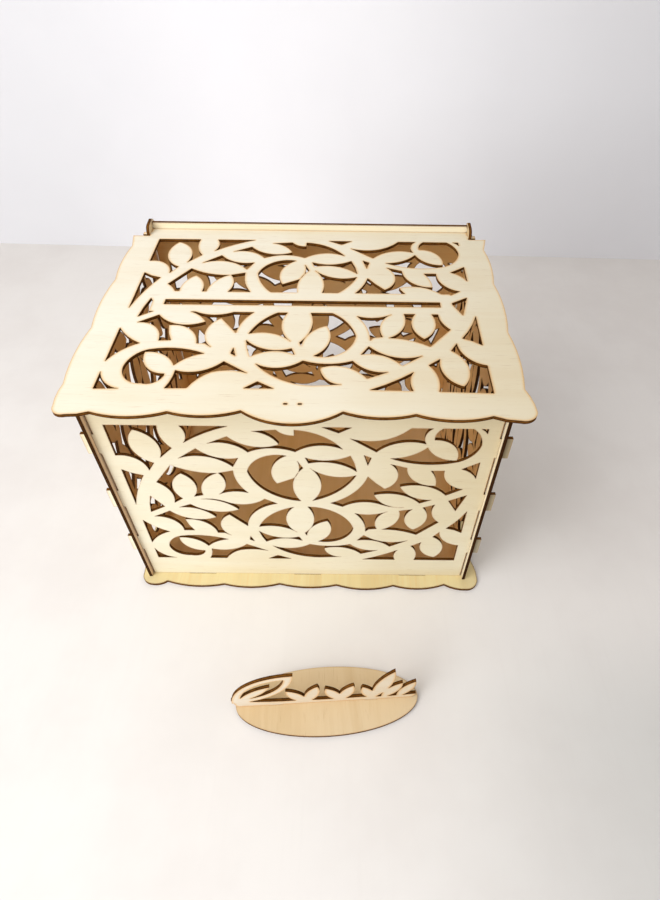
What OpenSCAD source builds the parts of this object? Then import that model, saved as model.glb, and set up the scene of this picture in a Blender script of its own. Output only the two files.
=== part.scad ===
// Wedding card box in cut plywood: six fretwork and plain panels, two hinge cheeks and a free-standing
// oval sign with a sprig of vine. Millimetres, +Z up, -Y the front, the origin under the box's centre.

/* [Box] */

// inside width between the side panels
inner_w = 280; // [279:0.5:284]
// outer depth over the front and back panels
outer_d = 214.5; // [213.5:0.5:216]
// top of the base to the top edge of the walls
wall_h = 217.7; // [217:0.5:219]
// thickness of the board that every panel is cut from
ply = 2.5; // [2.4:0.05:2.6]

/* [Lid] */

// width of the lid over its side lobes
lid_w = 300; // [298:1:304]
// length of the slot that cards are dropped through
slot_w = 206; // [150:1:210]
// width of the slot that cards are dropped through
slot_d = 6.5; // [4:0.5:8]
// width of the solid band that the card slot is cut in
band_d = 26.5; // [22:0.5:30]
// gap left between the closed lid and the walls under it
lid_gap = 0.2; // [0.15:0.05:0.3]

/* [Fretwork] */

// width of the fretted window in the front and the back
window_w = 259.2; // [256:0.2:261]
// height of the fretted window in the front and the back
window_h = 164.8; // [160:0.2:166]
// height of that window's centre over the base's top
window_z = 108.1; // [107:0.1:109]
// width of the fretted window in the side panels
side_window_w = 178; // [160:1:182]
// height of the fretted window in the side panels
side_window_h = 198; // [160:1:200]
// width of the fretted window in the lid
lid_window_w = 255.2; // [250:0.2:257]
// depth of the fretted window in the lid
lid_window_d = 191.2; // [186:0.2:192]

/* [Hinge] */

// height of the turning axis over the base's underside
axis_z = 225; // [224.8:0.1:225.4]
// hole in each cheek that the end pin turns in
pin_bore = 4.9; // [4.8:0.05:5.2]
// round part of each cheek
cheek_d = 11; // [10.6:0.1:11.4]

/* [Sign] */

// length of the oval foot
sign_l = 142; // [120:1:150]
// width of the oval foot
sign_w = 52.5; // [44:0.5:56]
// height of the vine sprig over the foot
sign_h = 54.5; // [46:0.5:58]

/* [Hidden] */
side_x = inner_w / 2;
front_y = -outer_d / 2;
back_y = outer_d / 2;
top_z = ply + wall_h;
lid_z = top_z + lid_gap;
// clearance round a tongue in its slot
fit = 0.05;
// how far the side panels stand past the front and the back
side_out = 4;
// half width of the front and back between their fingers
wall_half = side_x - 1.4;
// how far the fingers reach past the side panels' inner faces
finger = 8;
// heights of the finger joints between the walls
tabs = [[40.8, 61], [101.6, 122], [163.8, 183.6]];
// the tongues that stand the walls in the base, how low they reach and how far they run into their panel
feet_x = [-95, 0, 95];
feet_y = [-60, 60];
foot_w = 24;
foot_low = 0.1;
root = 1;
// the turning axis, and the plates that the lid turns on, just inside the side panels
axis_y = back_y - ply / 2;
hinge_gap = 0.3;
hinge_x = side_x - hinge_gap - ply;

// ---- drawing a cut-out from corners joined by arcs ----
// each corner is [x, y, sagitta of the arc to the next one], listed anticlockwise, + bulging outward
function unit(v) = v / max(norm(v), 0.0001);
function arc_pts(a, b, s) =
    let (c = norm(b - a), n = max(1, min(14, ceil(abs(s) * 2.2))), d = unit(b - a))
    abs(s) < 0.15 || c < 0.5 ? [a] :
    let (r = (c * c / 4 + s * s) / (2 * abs(s)), g = s > 0 ? 1 : -1, m = (a + b) / 2,
        out = [d[1], -d[0]], o = m - out * g * (r - abs(s)), h = asin(min(1, c / 2 / r)),
        q = abs(s) > c / 2 ? 180 - h : h)
    [for (i = [0:n - 1]) let (t = -q + 2 * q * i / n)
        o + r * (out * g * cos(t) + d * sin(t))];
function outline(h) = [for (i = [0:len(h) - 1]) let (p = h[i], k = h[(i + 1) % len(h)])
    each arc_pts([p[0], p[1]], [k[0], k[1]], p[2])];
function scaled(pts, s) = [for (p = pts) [p[0] * s[0], p[1] * s[1]]];

// ---- the vine: cut-outs about the window's centre, window half sizes 129.6 by 82.4 ----
vine_a = [
    [[-129.6, 36.5, 0], [-129.6, -6, -1.5], [-115, 30, -0.9]],
    [[-129.6, 82.4, 0], [-129.6, 51.5, -6], [-109.5, 35.5, 0], [-104, 44, -9.2], [-111, 78, -7.3],
        [-98.5, 49.5, 0], [-88, 60, -2.8], [-93.5, 82.4, 0]],
    [[-78.8, 82.4, -2.8], [-79, 65.5, -1.5], [-46, 82.4, 0]],
    [[-63, 65, -4.6], [-35.5, 56.5, -4.1], [-2, 57.3, -5.3], [31.5, 60.5, 4.4], [-1.8, 79.5, 0],
        [-1.8, 74, -1.8], [-14, 79.5, 0], [-31, 77.8, -3], [-13, 65, -6.3], [-48, 72.5, 0]],
    [[-86, 49, -6.8], [-48, 40.5, -0.3], [-43, 50.3, -4.5], [-71.5, 60, 0]],
    [[-93, 41.8, 0.4], [-107.5, 22, -4.5], [-99, -3, 0], [-91.5, 2.5, -7], [-87.5, 32.5, -6.3],
        [-82.5, 5, 0], [-75, 7, -5.5], [-60.5, 33.3, -2.6]],
    [[-59.8, 33.5, -5.4], [-63, 8, -2.7], [-40, 10.3, -2.6], [-48.5, 36.5, -0.3]],
    [[-78, 1.9, -4], [-50, -11, -6.1], [-87, -4.5, 0], [-97, -9, -4.6], [-69.5, -21.5, -6.6],
        [-105, -13.5, 0], [-119, -21.5, -6.3], [-98.7, -40.3, 0], [-90, -40.2, -0.8],
        [-95, -25, -6.5], [-71.5, -43.5, 0], [-66, -43.5, 0], [-60.5, -47.3, -8],
        [-58.5, -18, -0.3], [-45.5, -33.5, -6.8], [-19, -2.8, 0], [-28.5, 3.2, -5.6],
        [-60, -0.3, 1.6]],
    [[-116, 5.5, 0.6], [-120.3, -15.5, 0], [-107.5, -8, 0]],
    [[-129.6, -26.5, 0], [-129.6, -59, -2.3], [-111, -42.5, -1.6]],
    [[-129.6, -67.5, 0], [-129.6, -82.4, 0], [-113, -82.4, -3.4]],
    [[-64, -53, 3], [-103, -48.5, 3.2], [-116, -64, 4.7], [-100, -78.3, 2.9], [-86.8, -72.5, 0],
        [-86.8, -70.4, -6], [-105, -51, -4.1], [-82.5, -63.5, -2]],
    [[-80.5, -67.5, -1], [-84, -82.4, 0], [-69.5, -82.4, -1.6], [-56, -69.3, -1.9],
        [-32, -70.3, 0], [-49.5, -60, -4.8]],
    [[-45, -47.5, 0], [-46.2, -53, 0], [-42.3, -55.7, 0]],
    [[-24.5, -76.8, 0], [-33, -82.4, 0], [-13, -82.4, 0]],
    [[-8.5, 53.2, 7.5], [-38.3, 35.5, 8.8], [-0.5, 0.8, -6.9], [2.8, 40, 0], [-1.2, 48, -2.6],
        [-4.5, 28.5, -0.3], [-17.5, 22, -7.2]],
    [[8, 1.2, 5], [41.5, 32.5, -5.6], [7.2, 40.5, -7.9]],
    [[4.5, 51.5, 0], [6.8, 45.3, -5], [41.7, 36.5, 0.8], [36.8, 54, -4.1]],
    [[-6.5, -7, 5], [-36.5, -34.3, -4.7], [-5, -42.3, -8]],
    [[-37.3, -40.3, 0.5], [-32.5, -56, -4.3], [-2, -54, 0], [-4.5, -48, -5.1]]
];
// the other half of the vine, drawn turned half a turn about the window's centre
vine_b = [
    [[-129.6, 40, 0], [-129.6, 10, -1.2], [-116, 34, -0.9]],
    [[-129.6, 82.4, 0], [-129.6, 58.5, -5], [-111.5, 39, 0], [-106.5, 46.5, -8], [-111, 77.5, -5.7],
        [-98, 54.5, 0], [-89.5, 60.5, -3.2], [-94, 82.4, 0]],
    [[-77.5, 82.4, -2.2], [-79, 66.8, -1], [-49, 82.4, 0]],
    [[-62, 67.5, -3.5], [-38, 58.5, -2.9], [-4, 59, -5], [28, 62, 4.6], [-12, 79.8, 0.3],
        [-31, 78.5, -3.5], [-16.3, 67, 0], [-16.5, 65, -5.3], [-47.5, 73.5, 0]],
    [[-86.5, 52, -6], [-49.3, 44.8, -0.3], [-43.7, 52.8, -4.2], [-71.5, 61.7, 0]],
    [[-92.5, 43.5, 0.4], [-109, 25.5, -4.1], [-103.5, 2, 0], [-94, 6, -7.2], [-89, 36, -6.7],
        [-86.5, 8.3, 0], [-76, 10.5, -5.6], [-63.5, 36.3, -2]],
    [[-59.5, 35.5, -5.2], [-67.5, 11.3, -3], [-41, 14.3, -2.7], [-50.3, 39.5, 0], [-53, 36.3, 0]],
    [[-80, 6.2, -5.3], [-55.5, -9.3, -5.9], [-91, 0.6, 0], [-100, -4, -5], [-74.5, -19.7, -6.1],
        [-110, -9.7, 0], [-122, -17.5, -5.3], [-105.5, -38.8, 0], [-95.5, -38.5, -1.6],
        [-101, -21.5, -6.8], [-78, -41.5, 0], [-65.5, -45.5, -7.9], [-63, -17, -0.5],
        [-50, -31.3, -4.9], [-22, 1.3, 0], [-31.5, 6, -4.8], [-62, 3, 1.3]],
    [[-120.3, 10, 0.3], [-126.2, -10.5, 0], [-113, -3, 0.3]],
    [[-129.6, -30, 0], [-129.6, -48.5, -0.3], [-117.3, -40.7, -1.8]],
    [[-129.6, -77.5, 0], [-129.6, -82.4, 0], [-124.5, -82.4, -0.5]],
    [[-65, -51.7, 4.6], [-114, -48.5, 3], [-127.6, -66.5, 2], [-119.5, -82.4, 0],
        [-99, -82.4, 1.8], [-94.4, -71, -7], [-112.5, -50.3, -4.3], [-90.5, -63.7, -3.2]],
    [[-89.3, -66.8, -3.2], [-92.5, -82.4, 0], [-77.5, -82.4, -1.2], [-62, -71.3, -2.3],
        [-36, -71.8, -0.3], [-55, -58, -5.6]],
    [[-49.5, -43.5, 0], [-51.8, -52, 0], [-46.3, -54.8, 0]],
    [[-28.5, -76.8, 0], [-37.5, -82.4, 0], [-17, -82.4, 0]],
    [[-11, 54.7, 8.2], [-40.3, 35, 8], [-4, 6.3, -6.5], [-0.4, 42.5, 0], [-2, 46, -4.2],
        [-19.3, 25.3, -6.6]]
];
// moves points back toward the middle of the window's width, by a cubic of their place across its height
function bowed(pts, half, b) = [for (p = pts) let (x = p[0] / half[0], y = p[1] / half[1])
    [p[0], p[1] + (1 - x * x) * (b[0] + b[1] * y + b[2] * y * y + b[3] * y * y * y)]];
module vine(w, h, bow = [0, 0, 0, 0]) {
    s = [w / 259.2, h / 164.8];
    half = [w / 2, h / 2];
    for (c = vine_a)
        polygon(bowed(scaled(outline(c), s), half, bow));
    for (c = vine_b)
        polygon(bowed(scaled(outline(c), -s), half, bow));
}

// ---- shared shapes ----
// a flat panel's outline, cleaned into plain loops by growing it a hair, given the board's thickness
hair = 0.01;
module board() {
    linear_extrude(height = ply)
        offset(delta = hair)
            children();
}
module box2(x0, x1, y0, y1) {
    translate([x0, y0])
        square([x1 - x0, y1 - y0]);
}
// a shape that starts half a unit past the middle, and its mirror image
overlap = 0.5;
module mirrored() {
    children();
    mirror([1, 0, 0])
        children();
}
// stands a panel drawn in x and z with its front face at the given y
module upright_x(y) {
    translate([0, y + ply, 0])
        rotate([90, 0, 0])
            children();
}
// stands a panel drawn in y and z with its left face at the given x
module upright_y(x) {
    translate([x, 0, 0])
        rotate([90, 0, 90])
            children();
}

// ---- base: a scalloped sheet under the walls ----
base_front = [[-127.5, -115.55, 3.4], [-76.2, -117.95, 3.3], [-26.6, -117.15, 3.1],
    [24.6, -117.75, 4], [75.5, -117.75, 3.8], [121.3, -116.35, 1.5]];
base_right = [[141.6, -121.2, 3.4], [152, -109.4, 1], [148.8, -92, 2.6], [148.8, -31, 2.6],
    [148.8, 31, 2.6], [148.8, 92, 1], [151.2, 109, 3.4], [141, 120.6, 1.5]];
base_left = [[-141, 120.6, 3.4], [-151.2, 109, 1], [-148.8, 92, 2.6], [-148.8, 31, 2.6],
    [-148.8, -31, 2.6], [-148.8, -92, 1], [-150.3, -107, 3.4], [-141, -118.8, 1.5]];
// the sheet reaches a little further out on the right than on the left
base_x = 2;
function turned(c) = [for (p = c) [-p[0], -p[1], p[2]]];

module base_plate() {
    color([0.93, 0.82, 0.6])
        board()
            difference() {
                translate([base_x, 0])
                    polygon(outline(concat(base_front, base_right, turned(base_front),
                        base_left)));
                for (x = feet_x, y = [front_y, back_y - ply])
                    box2(x - foot_w / 2 - fit, x + foot_w / 2 + fit, y - fit, y + ply + fit);
                for (y = feet_y, x = [-side_x - ply, side_x])
                    box2(x - fit, x + ply + fit, y - foot_w / 2 - fit, y + foot_w / 2 + fit);
            }
}

// ---- front and back: fretted panels whose fingers pass through the side panels ----
module wall_x(top) {
    difference() {
        union() {
            mirrored()
                box2(-overlap, wall_half, ply, top);
            for (x = feet_x)
                box2(x - foot_w / 2, x + foot_w / 2, foot_low, ply + root);
            for (t = tabs)
                box2(-side_x - finger, side_x + finger, t[0], t[1]);
        }
        translate([0, ply + window_z])
            vine(window_w, window_h);
    }
}
module front_panel() {
    color([0.97, 0.92, 0.8])
        upright_x(front_y)
            board()
                wall_x(top_z);
}

// the back rises into a rail behind the lid, with a flat pin at each end that the cheeks turn on
rail_top = axis_z + 3.5;
rail_half = hinge_x - 0.2;
back_top = top_z - 1;
pin_h = 3.6;
pin_end = hinge_x + ply - 0.2;
pin_root = 3;
// a nick under each pin, [width, lowest, highest]
nick = [1.6, top_z - 0.4, axis_z - 2.6];
module back_panel() {
    color([0.95, 0.89, 0.76])
        upright_x(back_y - ply)
            board()
                union() {
                    wall_x(back_top);
                    mirrored() {
                        difference() {
                            box2(-overlap, rail_half, back_top - root, rail_top);
                            box2(rail_half - nick[0], rail_half + 1, nick[1], nick[2]);
                        }
                        box2(rail_half - pin_root, pin_end, axis_z - pin_h / 2, axis_z + pin_h / 2);
                    }
                }
}

// ---- sides: fretted panels with slots for the fingers ----
module side_2d() {
    difference() {
        union() {
            box2(front_y - side_out, back_y + side_out, ply, top_z);
            for (y = feet_y)
                box2(y - foot_w / 2, y + foot_w / 2, foot_low, ply + root);
        }
        translate([0, ply + wall_h / 2])
            vine(side_window_w, side_window_h);
        for (t = tabs, y = [front_y, back_y - ply])
            box2(y - fit, y + ply + fit, t[0] - fit, t[1] + fit);
    }
}
module left_panel() {
    color([0.93, 0.87, 0.74])
        upright_y(-side_x - ply)
            board()
                side_2d();
}
module right_panel() {
    color([0.92, 0.86, 0.73])
        upright_y(side_x)
            board()
                side_2d();
}

// ---- lid: a scalloped fretted sheet with the card slot, reaching back between the cheeks ----
// where the window, the band across it and the slot in the band are centred, and how the vine is bowed
lid_y = -9.05;
lid_bow = [3, -2.8, -1.9, 1.8];
band_y = -6;
slot_y = -7;
band_half = 112;
// the edge of the wide part, the far edge of the neck behind it and the neck's half width
neck_y = 91.9;
neck_end = back_y - 2.8;
neck_x = hinge_x - 0.1;
// the pegs that hold the cheeks, front to back, and how far out they reach
peg = [94.15, 98.35];
peg_end = side_x + 3.4;
peg_root = 5;
// two small holes at the front for a tie, [from the middle, centre, length, width]
tie = [4.5, -116.55, 2.5, 1.4];
lid_k = lid_w / 300;
lid_front = [[-31.5, -122.75, 11.1], [31.5, -122.75, 4.1], [76.5, -124.25, 4.4],
    [124, -125.25, 0.9]];
lid_right = [[140, -129.1, 3.3], [151.8, -121, 1], [148, -100.25, 2.6], [148, -40.25, 2.6],
    [148, 22.75, 2.2], [148, 74.75, 0.4], [151.8, neck_y, 0]];
lid_left = [[-151.2, neck_y, 0.4], [-148, 74.75, 2.2], [-148, 22.75, 2.6], [-148, -40.25, 2.6],
    [-148, -100.25, 1], [-147.7, -120.5, 3.3], [-138, -127.9, 0.9], [-124, -125.25, 4.4],
    [-76.5, -124.25, 4.1]];
module lid_2d() {
    neck = [[neck_x, neck_y, 0], [neck_x, neck_end, 0], [-neck_x, neck_end, 0], [-neck_x, neck_y, 0]];
    difference() {
        union() {
            difference() {
                polygon(scaled(outline(concat(lid_front, lid_right, neck, lid_left)), [lid_k, 1]));
                translate([0, lid_y])
                    vine(lid_window_w, lid_window_d, lid_bow);
            }
            mirrored() {
                box2(-overlap, band_half, band_y - band_d / 2, band_y + band_d / 2);
                box2(neck_x - peg_root, peg_end, peg[0], peg[1]);
            }
        }
        box2(-slot_w / 2, slot_w / 2, slot_y - slot_d / 2, slot_y + slot_d / 2);
        for (x = [-tie[0], tie[0]])
            box2(x - tie[2] / 2, x + tie[2] / 2, tie[1] - tie[3] / 2, tie[1] + tie[3] / 2);
    }
}
module lid() {
    color([0.97, 0.92, 0.8])
        translate([0, 0, lid_z])
            board()
                lid_2d();
}

// ---- hinge cheeks: upright plates held by the lid's pegs, turning on the back panel's end pins ----
// the cheek's arm: its front edge, and where its back meets the round part
arm_y = 92.95;
arm = [[arm_y, lid_z - 2, 0], [axis_y, axis_z - cheek_d / 2, 0], [axis_y, axis_z + cheek_d / 2, 0],
    [99, axis_z + 5, 1.8], [arm_y, axis_z - 0.3, 0]];
module cheek_2d() {
    difference() {
        union() {
            translate([axis_y, axis_z])
                circle(d = cheek_d, $fn = 96);
            polygon(outline(arm));
        }
        translate([axis_y, axis_z])
            circle(d = pin_bore, $fn = 96);
        box2(peg[0] - fit, peg[1] + fit, lid_z - fit, lid_z + ply + fit);
    }
}
module hinge_cheek_left() {
    color([0.9, 0.78, 0.58])
        upright_y(-hinge_x - ply)
            linear_extrude(height = ply)
                cheek_2d();
}
module hinge_cheek_right() {
    color([0.9, 0.78, 0.58])
        upright_y(hinge_x)
            linear_extrude(height = ply)
                cheek_2d();
}

// ---- sign: an oval foot with a sprig of vine standing along it ----
sign_at = [21.3, -219];
sign_turn = 3.8;
// where the sprig's two tongues stand in the foot, and their width
sign_feet = [-40, 34];
sign_tongue = 10;
module sign_base() {
    color([0.91, 0.79, 0.57])
        translate(sign_at)
            rotate([0, 0, sign_turn])
                linear_extrude(height = ply)
                    difference() {
                        polygon([for (a = [0:3:357]) [sign_l / 2 * cos(a), sign_w / 2 * sin(a)]]);
                        for (x = sign_feet)
                            box2(x - sign_tongue / 2 - fit, x + sign_tongue / 2 + fit,
                                -ply / 2 - fit, ply / 2 + fit);
                    }
}
// a leaf pointed at both ends, from [x, y] to [x, y], bulging by w on each side
function leaf(a, b, w) = outline([[a[0], a[1], w], [b[0], b[1], w]]);
sprig_h = 56;
stem = [[-70, 0, 0], [66, 0, 0.6], [69, 7, -1.5], [26, 6.5, -1], [-22, 7, -1], [-56, 9, 0],
    [-73, 14, 0]];
// the open leaf at the left, its hole and the small leaf in it, then the pairs of leaves along the stem
big_leaf = [[-73, 8], [-24, 56], 14];
big_hole = [[-66, 15], [-31, 49.5], 8.8];
small_leaves = [[[-68, 12], [-42, 37], 4.2], [[-16, 2], [-31, 27], 5.2], [[-16, 2], [-7, 33], 5.2],
    [[10, 2], [-1, 28], 5], [[10, 2], [20, 31], 5], [[35, 2], [27, 27], 4.6],
    [[35, 2], [50, 54], 6], [[42, 2], [57, 31], 5], [[54, 2], [67, 32], 4.6]];
module sprig_2d() {
    for (x = sign_feet)
        box2(x - sign_tongue / 2, x + sign_tongue / 2, foot_low, ply + root);
    translate([0, ply])
        scale([1, sign_h / sprig_h]) {
            polygon(outline(stem));
            difference() {
                polygon(leaf(big_leaf[0], big_leaf[1], big_leaf[2]));
                polygon(leaf(big_hole[0], big_hole[1], big_hole[2]));
            }
            for (b = small_leaves)
                polygon(leaf(b[0], b[1], b[2]));
        }
}
module sign_ornament() {
    color([0.97, 0.92, 0.8])
        translate(sign_at)
            rotate([0, 0, sign_turn])
                upright_x(-ply / 2)
                    board()
                        sprig_2d();
}

base_plate();
front_panel();
back_panel();
left_panel();
right_panel();
lid();
hinge_cheek_left();
hinge_cheek_right();
sign_base();
sign_ornament();
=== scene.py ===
"""Looks for the cut plywood card box and its oval sign: pale ply faces, laser-scorched edges, a plain
table and wall, and soft light from the upper left. Metres, in the CAD frame: +Z up, -Y the front."""
import math

import bpy
from mathutils import Matrix, Vector


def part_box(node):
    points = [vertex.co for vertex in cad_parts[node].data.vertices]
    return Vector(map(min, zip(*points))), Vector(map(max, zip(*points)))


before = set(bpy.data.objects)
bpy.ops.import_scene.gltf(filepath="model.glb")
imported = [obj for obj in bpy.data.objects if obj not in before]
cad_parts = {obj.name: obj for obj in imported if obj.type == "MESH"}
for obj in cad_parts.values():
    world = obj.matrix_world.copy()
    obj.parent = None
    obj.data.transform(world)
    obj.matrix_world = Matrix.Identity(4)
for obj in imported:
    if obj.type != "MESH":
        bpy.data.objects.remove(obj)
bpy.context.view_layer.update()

X, Y, Z = 0, 1, 2
PLY = 0.0025
SIGN_TURN = math.radians(3.8)
HALF_D = -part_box("front_panel")[1][Y]
HALF_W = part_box("right_panel")[0][X]
TIP_ROOT = HALF_W + PLY
BACK_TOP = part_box("front_panel")[1][Z] - 0.001


# ---- camera ----
def make_camera():
    """The photograph's own viewpoint, above the front and a little right of the middle."""
    data = bpy.data.cameras.new("camera")
    data.lens = 23.42
    data.shift_x = -0.0201
    cam = bpy.data.objects.new("camera", data)
    bpy.context.scene.collection.objects.link(cam)
    turn = Matrix.Rotation(math.radians(-0.37), 3, "Z") @ Matrix.Rotation(math.radians(-47.70), 3, "X")
    roll = math.radians(-0.93)
    right = turn @ Vector((math.cos(roll), 0, -math.sin(roll)))
    up = turn @ Vector((math.sin(roll), 0, math.cos(roll)))
    ahead = turn @ Vector((0, 1, 0))
    cam.matrix_world = (Matrix.Translation((0.0333, -0.3825, 0.4732))
                        @ Matrix((right, up, -ahead)).transposed().to_4x4())
    bpy.context.scene.camera = cam


# ---- node helpers ----
def put(tree, kind, sockets=None, **settings):
    """A new node: settings are its properties, sockets its inputs, each a value or what feeds it."""
    n = tree.nodes.new(kind)
    for key, value in settings.items():
        setattr(n, key, value)
    for key, value in (sockets or {}).items():
        join(tree, value, n.inputs[key])
    return n


def join(tree, value, socket):
    """Feeds a socket from another one, or gives it a plain value."""
    if isinstance(value, bpy.types.NodeSocket):
        tree.links.new(value, socket)
    else:
        socket.default_value = value


def maths(tree, what, a, b=0.5):
    """What Blender's math node makes of a and b."""
    return put(tree, "ShaderNodeMath", {0: a, 1: b}, operation=what).outputs[0]


def spread(tree, value, low, high, start=0.0, end=1.0):
    """value between low and high, eased to start and end."""
    return put(tree, "ShaderNodeMapRange", {"Value": value, "From Min": low, "From Max": high,
               "To Min": start, "To Max": end}, interpolation_type="SMOOTHSTEP").outputs[0]


def mix(tree, share, a, b, blend="MIX"):
    """Colour a turned into b by share."""
    n = put(tree, "ShaderNodeMix", data_type="RGBA", blend_type=blend)
    join(tree, share, n.inputs[0])
    join(tree, a, n.inputs[6])
    join(tree, b, n.inputs[7])
    return n.outputs[2]


def where(tree, turn=0.0):
    """A place on the part, in the CAD frame, turned about Z for the parts that stand askew."""
    place = put(tree, "ShaderNodeTexCoord").outputs["Object"]
    return put(tree, "ShaderNodeMapping", {"Vector": place, "Rotation": (0, 0, -turn)}).outputs[0]


def axes_of(tree, place):
    """A place's X, Y and Z."""
    return put(tree, "ShaderNodeSeparateXYZ", {0: place}).outputs


def noise(tree, place, scale, shift=0.0, detail=3.0, rough=0.55, bend=0.0):
    """Noise of so many features a metre along each axis, from 0 to 1."""
    at = put(tree, "ShaderNodeMapping", {"Vector": place, "Location": (shift, shift * 0.7, shift * 1.3),
             "Scale": scale}).outputs[0]
    return put(tree, "ShaderNodeTexNoise", {"Vector": at, "Scale": 1.0, "Detail": detail,
               "Roughness": rough, "Distortion": bend}).outputs[0]


def fine(grain, along, across):
    """A scale that is long along the grain and fine across it."""
    scale = [across] * 3
    scale[grain] = along
    return scale


def rgb(*c):
    """An opaque colour."""
    return (*c, 1.0)


def blank(name, gloss=0.3):
    """An empty material with its main shader."""
    mat = bpy.data.materials.new(name)
    mat.use_nodes = True
    shader = mat.node_tree.nodes["Principled BSDF"]
    shader.inputs["Specular IOR Level"].default_value = gloss
    return mat, mat.node_tree, shader


# ---- plywood ----
PALE = rgb(0.85, 0.80, 0.66)
PALE_DEEP = rgb(0.82, 0.745, 0.585)
# CREAM and CREAM_DEEP are a little brighter than PALE: painted light on the front face.
CREAM = rgb(0.885, 0.833, 0.665)
CREAM_DEEP = rgb(0.855, 0.785, 0.595)
WARM = rgb(0.755, 0.645, 0.355)
WARM_DEEP = rgb(0.68, 0.54, 0.27)
TAN = rgb(0.72, 0.57, 0.365)
TAN_DEEP = rgb(0.66, 0.50, 0.30)
# Painted shade: the left panel's inner face is darker and redder than the right's, for the shade it
# stands in.
ROSY = rgb(0.80, 0.585, 0.385)
ROSY_DEEP = rgb(0.74, 0.51, 0.325)
HONEY = rgb(0.90, 0.80, 0.60)
HONEY_DEEP = rgb(0.84, 0.73, 0.51)
BLUSH = rgb(0.86, 0.775, 0.645)
BLUSH_DEEP = rgb(0.83, 0.72, 0.57)
OVAL = rgb(0.735, 0.585, 0.375)
OVAL_DEEP = rgb(0.68, 0.52, 0.31)
# Painted shade and warm bounce light inside the box; the deep tone also browns the fibres of every inner
# face.
INSIDE_SHADE_BROWN = rgb(0.90, 0.585, 0.245)
INSIDE_SHADE_AND_FIBRE_BROWN = rgb(0.82, 0.50, 0.18)
SCORCH = rgb(0.42, 0.20, 0.065)
CHAR = rgb(0.032, 0.012, 0.004)
EDGE_PLY = rgb(0.145, 0.050, 0.007)
EDGE_CORE = rgb(0.21, 0.082, 0.012)
PORE_BROWN = rgb(0.45, 0.28, 0.13)
TONE_TINT = rgb(0.86, 0.76, 0.56)
# Painted shade for the light's falloff toward +X.
FALLOFF_SHADE_TINT = rgb(0.86, 0.83, 0.76)
# Painted shade on the front panel: the shadow on its finger tips and the shade under the lid.
TIP_SHADOW_TINT = rgb(0.30, 0.25, 0.19)
SHADE_TINT = rgb(0.90, 0.87, 0.83)
UNDER_LID_SHADE_TINT = rgb(0.80, 0.72, 0.64)
RIM_TINT = rgb(1.0, 0.78, 0.52)
SLACK = 0.0005
BURN = 0.0010
INNER_BURN = 0.0012
RIM = 0.0024
SHADE_REACH = 0.17
UNDER_REACH = 0.03


def near_cut(tree, reach):
    """1 right at a cut edge and 0 from reach inward."""
    inward = put(tree, "ShaderNodeAmbientOcclusion", {"Distance": reach}, inside=True, only_local=True,
                 samples=6)
    return spread(tree, inward.outputs["AO"], 0.55, 1.0, 1.0, 0.0)


def grain_maps(tree, place, grain, shift):
    """The fibres, the broad figure, the pores and the slow change of tone of a ply face."""
    fibre = noise(tree, place, fine(grain, 16, 850), shift, 3)
    figure = noise(tree, place, fine(grain, 4, 46), shift + 3, 4, 0.6, 0.9)
    pore = noise(tree, place, fine(grain, 70, 1500), shift + 5, 2)
    tone = noise(tree, place, (7, 7, 7), shift + 7, 2)
    return fibre, figure, spread(tree, pore, 0.63, 0.74), tone


def skin(tree, shader, colour, fibre, pore):
    """Sanded veneer: a faint relief of fibres and pores, edges eased, and an uneven sheen."""
    join(tree, colour, shader.inputs["Base Color"])
    join(tree, spread(tree, fibre, 0.25, 0.75, 0.50, 0.66), shader.inputs["Roughness"])
    height = maths(tree, "SUBTRACT", fibre, maths(tree, "MULTIPLY", pore, 0.6))
    eased = put(tree, "ShaderNodeBevel", {"Radius": 0.00018}, samples=4).outputs[0]
    bump = put(tree, "ShaderNodeBump", {"Height": height, "Normal": eased, "Strength": 0.25,
               "Distance": 0.00012})
    join(tree, bump.outputs[0], shader.inputs["Normal"])


def dim_front(tree, axes, colour, falloff_shade, share):
    """Paints shade on the front panel: painted shade up toward the lid's overhang, most just under the
    lid toward +X, and the painted shadow of the right side panel's lip on the finger tips out past it.
    """
    # Painted shadow of the right side panel's lip on the finger tips.
    beyond = maths(tree, "GREATER_THAN", axes[X], TIP_ROOT)
    fading = spread(tree, axes[X], TIP_ROOT, TIP_ROOT + 2 * PLY, share, share * 0.6)
    colour = mix(tree, maths(tree, "MULTIPLY", beyond, fading), colour, TIP_SHADOW_TINT, "MULTIPLY")
    # Painted shade from the lid's overhang, up toward the lid.
    shade = spread(tree, axes[Z], BACK_TOP - SHADE_REACH, BACK_TOP, 0.0, share)
    colour = mix(tree, shade, colour, SHADE_TINT, "MULTIPLY")
    # More painted shade just under the lid, stronger toward +X.
    under = spread(tree, axes[Z], BACK_TOP - UNDER_REACH, BACK_TOP, 0.0, share)
    return mix(tree, maths(tree, "MULTIPLY", falloff_shade, under), colour, UNDER_LID_SHADE_TINT, "MULTIPLY")


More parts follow.
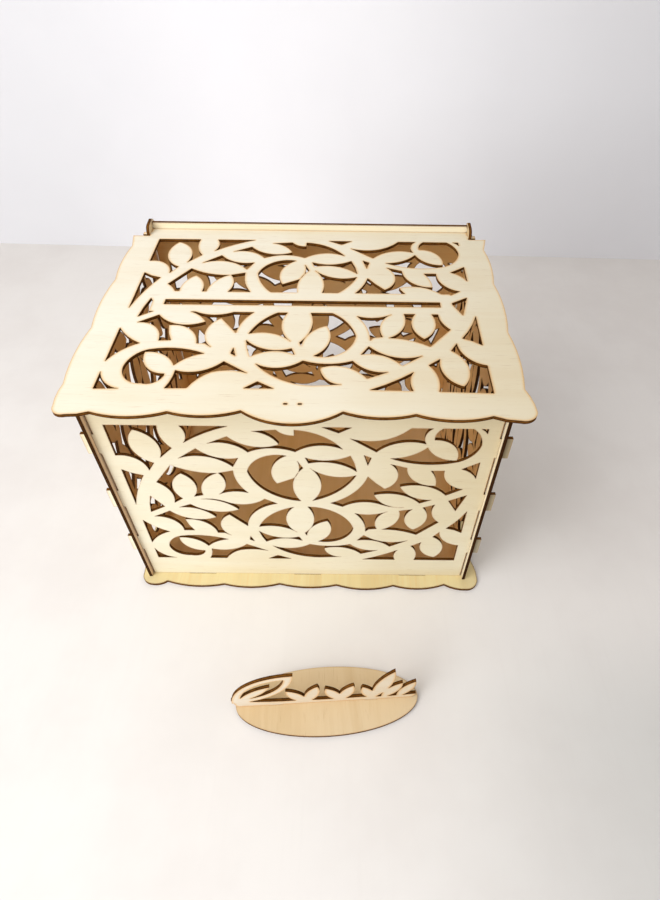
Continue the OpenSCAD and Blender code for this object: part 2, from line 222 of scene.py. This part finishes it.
def veneer(name, grain, light, deep, shift=0.0, turn=0.0, halo=0.0, dim=0.0):
    """A clean ply face, its fibres along the grain axis, browned in a thin line along every cut, and
    given painted shade toward +X, where the light falls off. halo is how strong a wide yellow rim stands
    beside the cuts, and dim how far dim_front goes."""
    mat, tree, shader = blank(name)
    place = where(tree, turn)
    fibre, figure, pore, tone = grain_maps(tree, place, grain, shift)
    colour = mix(tree, spread(tree, figure, 0.35, 0.72), light, deep)
    colour = mix(tree, spread(tree, fibre, 0.45, 0.85, 0.0, 0.3), colour, deep)
    colour = mix(tree, spread(tree, tone, 0.35, 0.7, 0.0, 0.35), colour, TONE_TINT, "MULTIPLY")
    colour = mix(tree, maths(tree, "MULTIPLY", pore, 0.35), colour, PORE_BROWN)
    axes = axes_of(tree, place)
    # Painted shade: the face darkens toward +X, where the light from the upper left falls off.
    falloff_shade = spread(tree, axes[X], -0.02, 0.16, 0.0, 0.8)
    colour = mix(tree, falloff_shade, colour, FALLOFF_SHADE_TINT, "MULTIPLY")
    if dim:
        colour = dim_front(tree, axes, colour, falloff_shade, dim)
    if halo:
        rim = maths(tree, "MULTIPLY", near_cut(tree, RIM), halo)
        colour = mix(tree, rim, colour, RIM_TINT, "MULTIPLY")
    scorch = maths(tree, "MULTIPLY", near_cut(tree, BURN), 0.45)
    skin(tree, shader, mix(tree, scorch, colour, SCORCH), fibre, pore)
    return mat


def inner_veneer(name, grain, light, deep, shift=0.0):
    """A face that lines the box: brown with painted shade and warm bounce light inside the walls, clean
    past them.
    """
    mat, tree, shader = blank(name)
    place = where(tree)
    fibre, figure, pore, tone = grain_maps(tree, place, grain, shift)
    clean = mix(tree, spread(tree, figure, 0.35, 0.72), light, deep)
    # Painted shade and warm bounce light: brown.
    inside_shade = mix(tree, spread(tree, figure, 0.3, 0.75), INSIDE_SHADE_BROWN, INSIDE_SHADE_AND_FIBRE_BROWN)
    inside_shade = mix(tree, spread(tree, tone, 0.3, 0.75, 0.0, 0.4), inside_shade, TAN)
    axes = axes_of(tree, place)
    inside = maths(tree, "LESS_THAN", axes[Z], BACK_TOP)
    for axis, half in ((X, HALF_W), (Y, HALF_D)):
        off = maths(tree, "ABSOLUTE", axes[axis])
        inside = maths(tree, "MULTIPLY", maths(tree, "LESS_THAN", off, half + SLACK), inside)
    # Painted shade only inside the box's walls and below its top.
    colour = mix(tree, inside, clean, inside_shade)
    colour = mix(tree, spread(tree, fibre, 0.45, 0.85, 0.0, 0.3), colour, INSIDE_SHADE_AND_FIBRE_BROWN)
    scorch = maths(tree, "MULTIPLY", near_cut(tree, INNER_BURN), 0.8)
    skin(tree, shader, mix(tree, scorch, colour, EDGE_PLY), fibre, pore)
    return mat


def burnt(name, axis, low, shift=0.0, turn=0.0, dark=0.0):
    """The wall of a laser cut: charred brown, three plies with dark glue lines, striped by the beam."""
    mat, tree, shader = blank(name, 0.02)
    place = where(tree, turn)
    depth = axes_of(tree, place)[axis]
    soot = noise(tree, place, (160, 160, 160), shift, 3, 0.6)
    stripe = noise(tree, place, fine(axis, 60, 1500), shift, 2)
    level = put(tree, "ShaderNodeMapRange", {"Value": depth, "From Min": low, "From Max": low + PLY})
    level = maths(tree, "ADD", level.outputs[0], spread(tree, soot, 0.2, 0.8, -0.03, 0.03))
    ramp = put(tree, "ShaderNodeValToRGB", {0: level})
    stops = ramp.color_ramp.elements
    stops[0].color = stops[1].color = CHAR
    for at, c in ((0.26, EDGE_PLY), (0.33, CHAR), (0.40, EDGE_CORE), (0.60, EDGE_CORE), (0.67, CHAR),
                  (0.74, EDGE_PLY)):
        stops.new(at).color = c
    colour = mix(tree, spread(tree, soot, 0.35, 0.7, 0.0, 0.6), ramp.outputs[0], CHAR)
    colour = mix(tree, spread(tree, stripe, 0.5, 0.8, 0.0, 0.15), colour, SCORCH)
    colour = mix(tree, dark, colour, CHAR)
    join(tree, colour, shader.inputs["Base Color"])
    join(tree, spread(tree, soot, 0.2, 0.8, 0.62, 0.85), shader.inputs["Roughness"])
    bump = put(tree, "ShaderNodeBump", {"Height": stripe, "Strength": 0.4, "Distance": 0.0002})
    join(tree, bump.outputs[0], shader.inputs["Normal"])
    return mat


def dress(name, axis, front, out, back, turn=0.0, dark=0.0):
    """Gives a sheet its good face, its other face and its cut edges. out is the good face's side, 1 or
    -1 along axis, turn how far the sheet stands askew, and dark how charred its edges are."""
    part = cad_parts[name]
    lo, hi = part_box(name)
    middle = Matrix.Rotation(-turn, 3, "Z") @ ((lo + hi) / 2)
    edge = burnt("edge_" + name, axis, middle[axis] - PLY / 2, 0.37 * len(name), turn, dark)
    part.data.materials.clear()
    for mat in (front, back, edge):
        part.data.materials.append(mat)
    for face in part.data.polygons:
        facing = face.normal[axis] * out
        face.material_index = 2 if abs(facing) < 0.7 else (0 if facing > 0 else 1)


def dress_box():
    """The five panels."""
    dress("base_plate", Z, inner_veneer("base_top", Y, WARM, WARM_DEEP, 1.1), 1,
          veneer("base_under", Y, WARM, WARM_DEEP, 2.3))
    # The front face: brighter colours as painted light, and painted shade and shadow through dim.
    dress("front_panel", Y, veneer("front_face", X, CREAM, CREAM_DEEP, 3.1, dim=0.92), -1,
          inner_veneer("front_inside", X, PALE, PALE_DEEP, 4.1))
    dress("back_panel", Y, veneer("back_face", X, PALE, PALE_DEEP, 5.3), 1,
          inner_veneer("back_inside", X, CREAM_DEEP, HONEY_DEEP, 6.1))
    # The left panel's inner face gets darker colours as painted shade.
    dress("left_panel", X, veneer("left_face", Y, PALE, PALE_DEEP, 7.7), -1,
          inner_veneer("left_inside", Y, ROSY, ROSY_DEEP, 8.1), dark=0.8)
    dress("right_panel", X, veneer("right_face", Y, PALE, PALE_DEEP, 9.2), 1,
          inner_veneer("right_inside", Y, HONEY, HONEY_DEEP, 10.1), dark=0.9)


def dress_lid():
    """The fretted lid and the cheeks that it turns on."""
    dress("lid", Z, veneer("lid_face", X, PALE, PALE_DEEP, 11.4, halo=1.0), 1,
          veneer("lid_under", X, PALE_DEEP, WARM_DEEP, 12.2))
    cheek = veneer("cheek_face", Z, TAN, TAN_DEEP, 13.1)
    dress("hinge_cheek_left", X, cheek, -1, cheek)
    dress("hinge_cheek_right", X, cheek, 1, cheek)


def dress_sign():
    """The oval foot and the leafy scroll that stands along it."""
    oval = veneer("sign_oval", Y, OVAL, OVAL_DEEP, 14.6, SIGN_TURN)
    dress("sign_base", Z, oval, 1, oval)
    scroll = veneer("sign_scroll", X, BLUSH, BLUSH_DEEP, 15.2, SIGN_TURN, halo=1.6)
    dress("sign_ornament", Y, scroll, -1, scroll, SIGN_TURN)


# ---- stage ----
TABLE = rgb(0.83, 0.80, 0.77)
TABLE_DEEP = rgb(0.79, 0.755, 0.725)
# Painted shade on the table toward its sides and its front right corner.
TABLE_SIDE_SHADE = rgb(0.93, 0.925, 0.92)
TABLE_CORNER_SHADE = rgb(0.84, 0.86, 0.865)
WALL = rgb(0.925, 0.925, 0.965)
WALL_DEEP = rgb(0.90, 0.90, 0.94)
# Painted shade on the wall toward its sides.
WALL_SIDE_SHADE = rgb(0.82, 0.82, 0.82)
WALL_Y = 0.472
WALL_SKEW = 0.072
REACH = 3.0


def sheet_of(name, corners, mat):
    """A flat backdrop piece."""
    mesh = bpy.data.meshes.new(name)
    mesh.from_pydata(corners, [], [(0, 1, 2, 3)])
    mesh.materials.append(mat)
    o = bpy.data.objects.new(name, mesh)
    bpy.context.scene.collection.objects.link(o)


def table_paint():
    """The table: white paint a little worn, with faint smudges, and painted shade toward both sides and
    at the front right corner.
    """
    mat, tree, shader = blank("table_paint", 0.25)
    place = where(tree)
    smudge = noise(tree, place, (9, 9, 9), 1.0, 4, 0.6)
    brush = noise(tree, place, (260, 14, 14), 2.0, 3)
    colour = mix(tree, spread(tree, smudge, 0.35, 0.7), TABLE, TABLE_DEEP)
    colour = mix(tree, spread(tree, brush, 0.5, 0.85, 0.0, 0.3), colour, TABLE_DEEP)
    axes = axes_of(tree, place)
    aside = maths(tree, "ABSOLUTE", axes[X])
    # Painted shade toward both sides.
    colour = mix(tree, spread(tree, aside, 0.05, 0.33), colour, TABLE_SIDE_SHADE, "MULTIPLY")
    # Painted shade at the front right corner.
    corner = maths(tree, "MULTIPLY", spread(tree, axes[X], 0.04, 0.28),
                   spread(tree, axes[Y], -0.25, -0.12, 1.0, 0.0))
    colour = mix(tree, corner, colour, TABLE_CORNER_SHADE, "MULTIPLY")
    join(tree, colour, shader.inputs["Base Color"])
    join(tree, spread(tree, smudge, 0.3, 0.7, 0.5, 0.62), shader.inputs["Roughness"])
    bump = put(tree, "ShaderNodeBump", {"Height": brush, "Strength": 0.1, "Distance": 0.0002})
    join(tree, bump.outputs[0], shader.inputs["Normal"])
    return mat


def wall_paint():
    """The wall, which only shows from the front, so that it never hides the box's back, with painted
    shade toward both sides.
    """
    mat, tree, shader = blank("wall_paint", 0.2)
    place = where(tree)
    smudge = noise(tree, place, (5, 5, 5), 4.0, 3)
    colour = mix(tree, spread(tree, smudge, 0.3, 0.7), WALL, WALL_DEEP)
    aside = maths(tree, "ABSOLUTE", axes_of(tree, place)[X])
    # Painted shade toward both sides.
    colour = mix(tree, spread(tree, aside, 0.05, 0.42), colour, WALL_SIDE_SHADE, "MULTIPLY")
    join(tree, colour, shader.inputs["Base Color"])
    shader.inputs["Roughness"].default_value = 0.8
    behind = put(tree, "ShaderNodeNewGeometry").outputs["Backfacing"]
    clear = put(tree, "ShaderNodeBsdfTransparent").outputs[0]
    both = put(tree, "ShaderNodeMixShader", {0: behind, 1: shader.outputs[0], 2: clear}).outputs[0]
    join(tree, both, tree.nodes["Material Output"].inputs["Surface"])
    return mat


def make_stage():
    """The table just under the box, and a wall behind it that stands a little askew."""
    below = -0.0002
    sheet_of("stage_table", [(-REACH, -REACH, below), (REACH, -REACH, below), (REACH, REACH, below),
             (-REACH, REACH, below)], table_paint())
    left, right = WALL_Y + WALL_SKEW, WALL_Y - WALL_SKEW
    sheet_of("stage_wall", [(-REACH, left, below), (REACH, right, below), (REACH, right, REACH),
             (-REACH, left, REACH)], wall_paint())


def area(name, spot, aim, size, watts, colour):
    """A square soft light, aimed at a point and hidden from the camera."""
    data = bpy.data.lights.new(name, "AREA")
    data.size = size
    data.energy = watts
    data.color = colour
    o = bpy.data.objects.new(name, data)
    o.location = spot
    o.rotation_euler = (Vector(aim) - Vector(spot)).to_track_quat("-Z", "Y").to_euler()
    o.visible_camera = False
    bpy.context.scene.collection.objects.link(o)


def make_light():
    """A window to the upper left, and the room's own soft light all round."""
    area("key", (-0.5, -0.4, 0.9), (0, 0, 0.1), 0.6, 4.7, (0.98, 0.98, 1.0))
    area("fill", (-0.85, -0.95, 0.6), (0, 0, 0.1), 0.8, 8.0, (0.98, 1.0, 1.0))
    world = bpy.data.worlds.new("room")
    world.use_nodes = True
    glow = world.node_tree.nodes["Background"]
    glow.inputs["Color"].default_value = rgb(1.0, 0.97, 0.94)
    glow.inputs["Strength"].default_value = 0.63
    bpy.context.scene.world = world
    bpy.context.scene.view_settings.view_transform = "Standard"


make_camera()
dress_box()
dress_lid()
dress_sign()
make_stage()
make_light()
